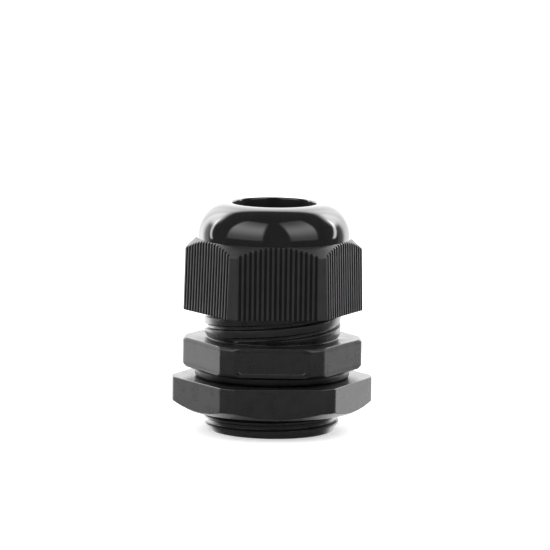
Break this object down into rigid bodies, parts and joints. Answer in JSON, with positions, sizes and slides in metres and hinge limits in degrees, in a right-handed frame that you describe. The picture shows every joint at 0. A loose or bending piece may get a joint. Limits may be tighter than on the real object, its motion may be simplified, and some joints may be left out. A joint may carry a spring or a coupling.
{
  "type": "cable gland",
  "caption": "Threaded plastic cable gland with ribbed domed cap nut, clamping claw, rubber seal, hexagon body, sealing washer and flat lock nut.",
  "frame": {"origin": "on the axis, in the end face of the panel thread, on which the gland stands", "axes": "+Z along the axis and out of the cap nut's mouth; -Y square to one flat of the body's hexagon, the front; +X to the right seen from the front"},
  "size_m": [0.0334, 0.031, 0.0381],
  "materials": {
    "body_nylon": "fine satin",
    "cap_nylon": "glossy crown, satin flats",
    "lock_nylon": "fine satin",
    "washer_rubber": "matte",
    "claw_nylon": "satin",
    "seal_rubber": "matte"
  },
  "bodies": {
    "body": {"body": "body_nylon"},
    "insert": {"clamping_claw": "claw_nylon", "seal_insert": "seal_rubber"},
    "cap_nut": {"cap_nut": "cap_nylon"},
    "washer": {"sealing_washer": "washer_rubber"},
    "lock_nut": {"lock_nut": "lock_nylon"}
  },
  "joints": [
    {"name": "insert_slide", "type": "slide", "parent": "body", "child": "insert", "axis": [0, 0, 1], "range_m": [-0.004, 0.004]},
    {"name": "cap_nut_turn", "type": "hinge", "parent": "insert", "child": "cap_nut", "pos_m": [0, 0, 0.026], "axis": [0, 0, 1], "range_deg": [-240, 240]},
    {"name": "washer_slide", "type": "slide", "parent": "body", "child": "washer", "axis": [0, 0, 1], "range_m": [-0.00929, 0]},
    {"name": "lock_nut_turn", "type": "hinge", "parent": "washer", "child": "lock_nut", "pos_m": [0, 0, 0.006], "axis": [0, 0, 1], "range_deg": [-2370, 0]}
  ],
  "couplings": [
    {"joint": "insert_slide", "follows": "cap_nut_turn", "m_per_rad": 0.00095493},
    {"joint": "washer_slide", "follows": "lock_nut_turn", "m_per_rad": 0.00022459}
  ]
}
